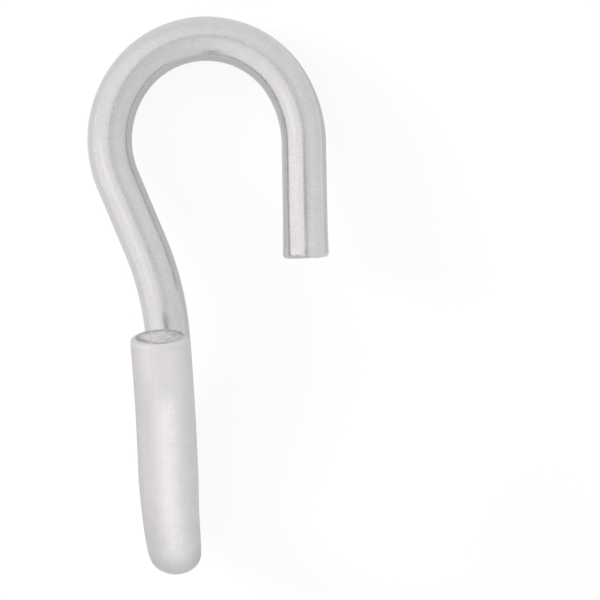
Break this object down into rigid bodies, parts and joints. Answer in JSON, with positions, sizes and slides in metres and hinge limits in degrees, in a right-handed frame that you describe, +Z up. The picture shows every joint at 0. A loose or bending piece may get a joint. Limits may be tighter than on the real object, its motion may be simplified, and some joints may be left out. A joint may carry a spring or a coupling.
{
  "type": "curb chain hook",
  "caption": "S-shaped bent steel wire hook: a large crook hangs from a bit's eye, and a narrow flattened hook a quarter turn round takes a link of the curb chain.",
  "frame": {"origin": "middle of the part's footprint, on the floor that it lies on", "axes": "+Z up from the floor; +Y along the hook towards the crown of the large crook; +X towards the large crook's free leg; the chain hook opens towards +Z"},
  "size_m": [0.0216, 0.0498, 0.0175],
  "materials": {
    "steel": "tumbled stainless wire with a soft satin polish and fine lengthwise drawing lines; matt sheared faces at both ends"
  },
  "bodies": {
    "root": {"curb_hook": "steel"}
  },
  "joints": []
}
